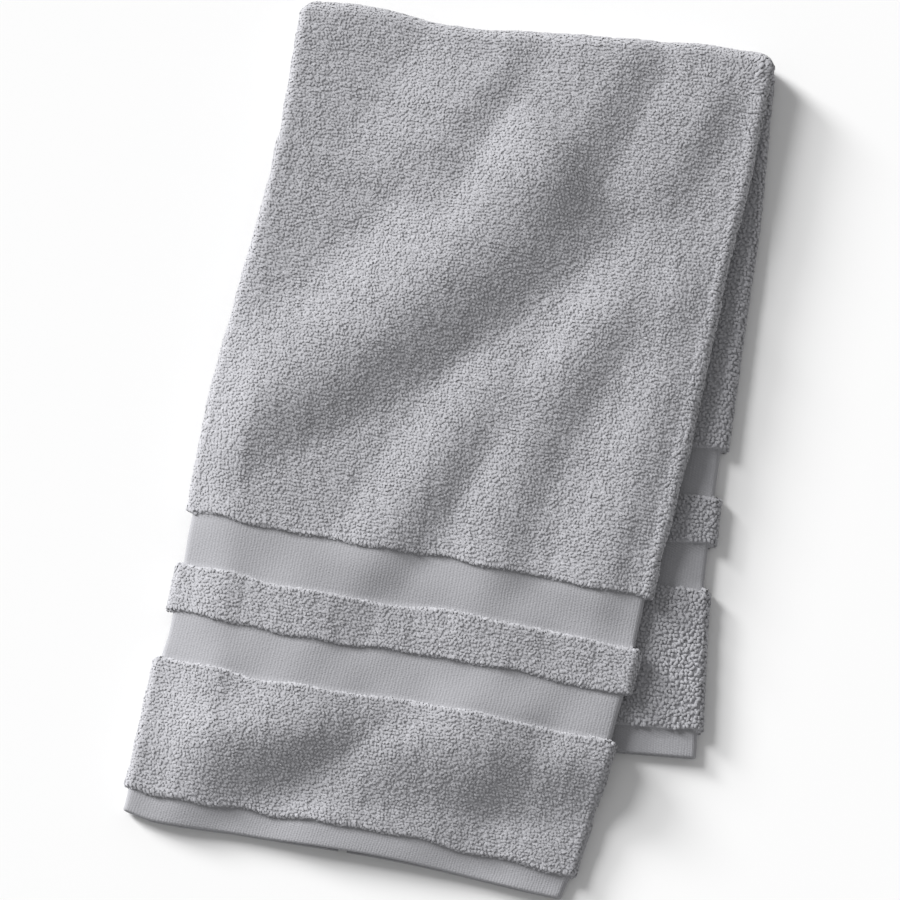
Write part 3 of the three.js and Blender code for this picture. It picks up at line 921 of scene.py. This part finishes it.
def front_patch(s_from, s_to, u_from, u_to, pitch=LOOP_PITCH):
    return (s_from, s_to, u_from, u_to, pitch)


def back_patches(u_from, u_to, pitch):
    """Patches of pile between the bands of the back part."""
    return [
        (STRIP_LENGTH - high + BORDER_GAP, STRIP_LENGTH - low - BORDER_GAP, u_from, u_to, pitch)
        for low, high in BACK_BANDS
    ]


def band_patch(lower, upper):
    """Pile between two borders of the front part, round both side folds."""
    return front_patch(FRONT_BORDERS[lower] + BORDER_GAP, FRONT_BORDERS[upper] - BORDER_GAP, -HALF, HALF)


main_start = MAIN_FROM + BORDER_GAP
upper_rows = [(FRONT_BORDERS[k], -HALF, HALF) for k in (1, 3)]
lower_rows = [(FRONT_BORDERS[k] + LOWER_ROW, -HALF, HALF) for k in (0, 2)]
back_rows = [(STRIP_LENGTH - BACK_BORDERS[k], HIDDEN_HALF, HALF + BACK_FURTHER) for k in (1, 3)]
strip_from, strip_to = PANEL_HALF - STRIP_IN, PANEL_HALF + STRIP_OUT
# Pieces of pile: kind of loops, patches, rows along borders
PILES = {
    "pile_main_low": (
        SHORT,
        [front_patch(main_start, MAIN_CUTS[1], -PANEL_HALF, PANEL_HALF)],
        [(MAIN_CUTS[0] + LOWER_ROW, -PANEL_HALF, PANEL_HALF)],
    ),
    "pile_main_middle": (SHORT, [front_patch(MAIN_CUTS[1], MAIN_CUTS[2], -PANEL_HALF, PANEL_HALF)], []),
    "pile_main_high": (SHORT, [front_patch(MAIN_CUTS[2], MAIN_CUTS[3], -PANEL_HALF, PANEL_HALF)], []),
    "pile_bands": (SHORT, [band_patch(0, 1), band_patch(2, 3)], upper_rows + lower_rows),
    "pile_left": (SMOOTH, [front_patch(main_start, FRONT_LENGTH, -HALF, -PANEL_HALF)], []),
    "pile_right_edge": (
        COARSE, [front_patch(main_start, FRONT_LENGTH, strip_from, strip_to, EDGE_STRIP_PITCH)], [],
    ),
    "pile_right": (SMOOTH, [front_patch(main_start, FRONT_LENGTH, strip_to, HALF)], []),
    "pile_fold": (SMOOTH, [front_patch(FRONT_LENGTH, BACK_START, -HALF, HALF)], []),
    "pile_back_left": (SHORT, back_patches(-HALF, -HIDDEN_HALF, HIDDEN_PITCH), []),
    "pile_back_right": (LONG, back_patches(HIDDEN_HALF, HALF + BACK_FURTHER, LONG_PITCH), back_rows),
}
# Seed of the first piece of pile
PILE_SEED = SEED + 100

terry = loop_material()
piles = []
for k, (name, (kind, patches, borders)) in enumerate(PILES.items()):
    piece = pile_piece(name, kind, patches, borders, PILE_SEED + k)
    piece.data.materials.append(terry)
    piles.append(piece)

for piece in (cloth, *piles):
    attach(piece, "root")
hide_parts("towel")

# Floor

# Side of the floor in metres, and how far it lies under the towel in millimetres
FLOOR_SIZE = 6
FLOOR_DROP = 0.1
corners = np.array([(-1, -1, 0), (1, -1, 0), (1, 1, 0), (-1, 1, 0)]) * FLOOR_SIZE / MM / 2
floor = mesh_object("floor", corners - (0, 0, FLOOR_DROP), np.array([(0, 1, 2, 3)]), False)
material, nodes, links, shader = new_material("white floor")
shader.inputs["Base Color"].default_value = (0.92, 0.92, 0.92, 1)
shader.inputs["Roughness"].default_value = 0.9
floor.data.materials.append(material)

# Light and camera

# Lamps: turn from the right of the picture and height in degrees, strength, width of the soft disc in
# degrees, then their distance in metres and the light from all around
LAMPS = {"key": (140, 35, 2.05, 20), "low": (140, 18, 3.3, 15)}
LAMP_DISTANCE = 3
WORLD_STRENGTH = 0.36
# Camera: turn and height in degrees, distance in metres, lens and sensor in millimetres, aim in metres
CAMERA_TURN = 11.5
CAMERA_HEIGHT = 75
CAMERA_DISTANCE = 4
CAMERA_LENS = 194.9
CAMERA_SENSOR = 36
CAMERA_AIM = Vector((-0.0235, -0.016, 0))

for name, (lamp_turn, lamp_height, strength, disc) in LAMPS.items():
    lamp_data = bpy.data.lights.new(name, "SUN")
    lamp_data.energy = strength
    lamp_data.angle = math.radians(disc)
    lamp = bpy.data.objects.new(name, lamp_data)
    turn, height = math.radians(lamp_turn + CAMERA_TURN), math.radians(lamp_height)
    to_lamp = Vector((math.cos(turn) * math.cos(height), math.sin(turn) * math.cos(height), math.sin(height)))
    lamp.rotation_euler = to_lamp.to_track_quat("Z", "Y").to_euler()
    lamp.location = to_lamp * LAMP_DISTANCE
    bpy.context.scene.collection.objects.link(lamp)

world = bpy.context.scene.world or bpy.data.worlds.new("world")
bpy.context.scene.world = world
world.use_nodes = True
background = world.node_tree.nodes["Background"]
background.inputs["Color"].default_value = (1, 1, 1, 1)
background.inputs["Strength"].default_value = WORLD_STRENGTH

turn, height = math.radians(CAMERA_TURN), math.radians(CAMERA_HEIGHT)
to_camera = Vector((math.sin(turn) * math.cos(height), -math.cos(turn) * math.cos(height), math.sin(height)))
camera_data = bpy.data.cameras.new("camera")
camera_data.lens = CAMERA_LENS
camera_data.sensor_width = CAMERA_SENSOR
camera = bpy.data.objects.new("camera", camera_data)
camera.location = CAMERA_AIM + to_camera * CAMERA_DISTANCE
camera.rotation_euler = to_camera.to_track_quat("Z", "Y").to_euler()
bpy.context.scene.collection.objects.link(camera)
bpy.context.scene.camera = camera
bpy.context.scene.view_settings.view_transform = "Standard"

bpy.context.view_layer.update()
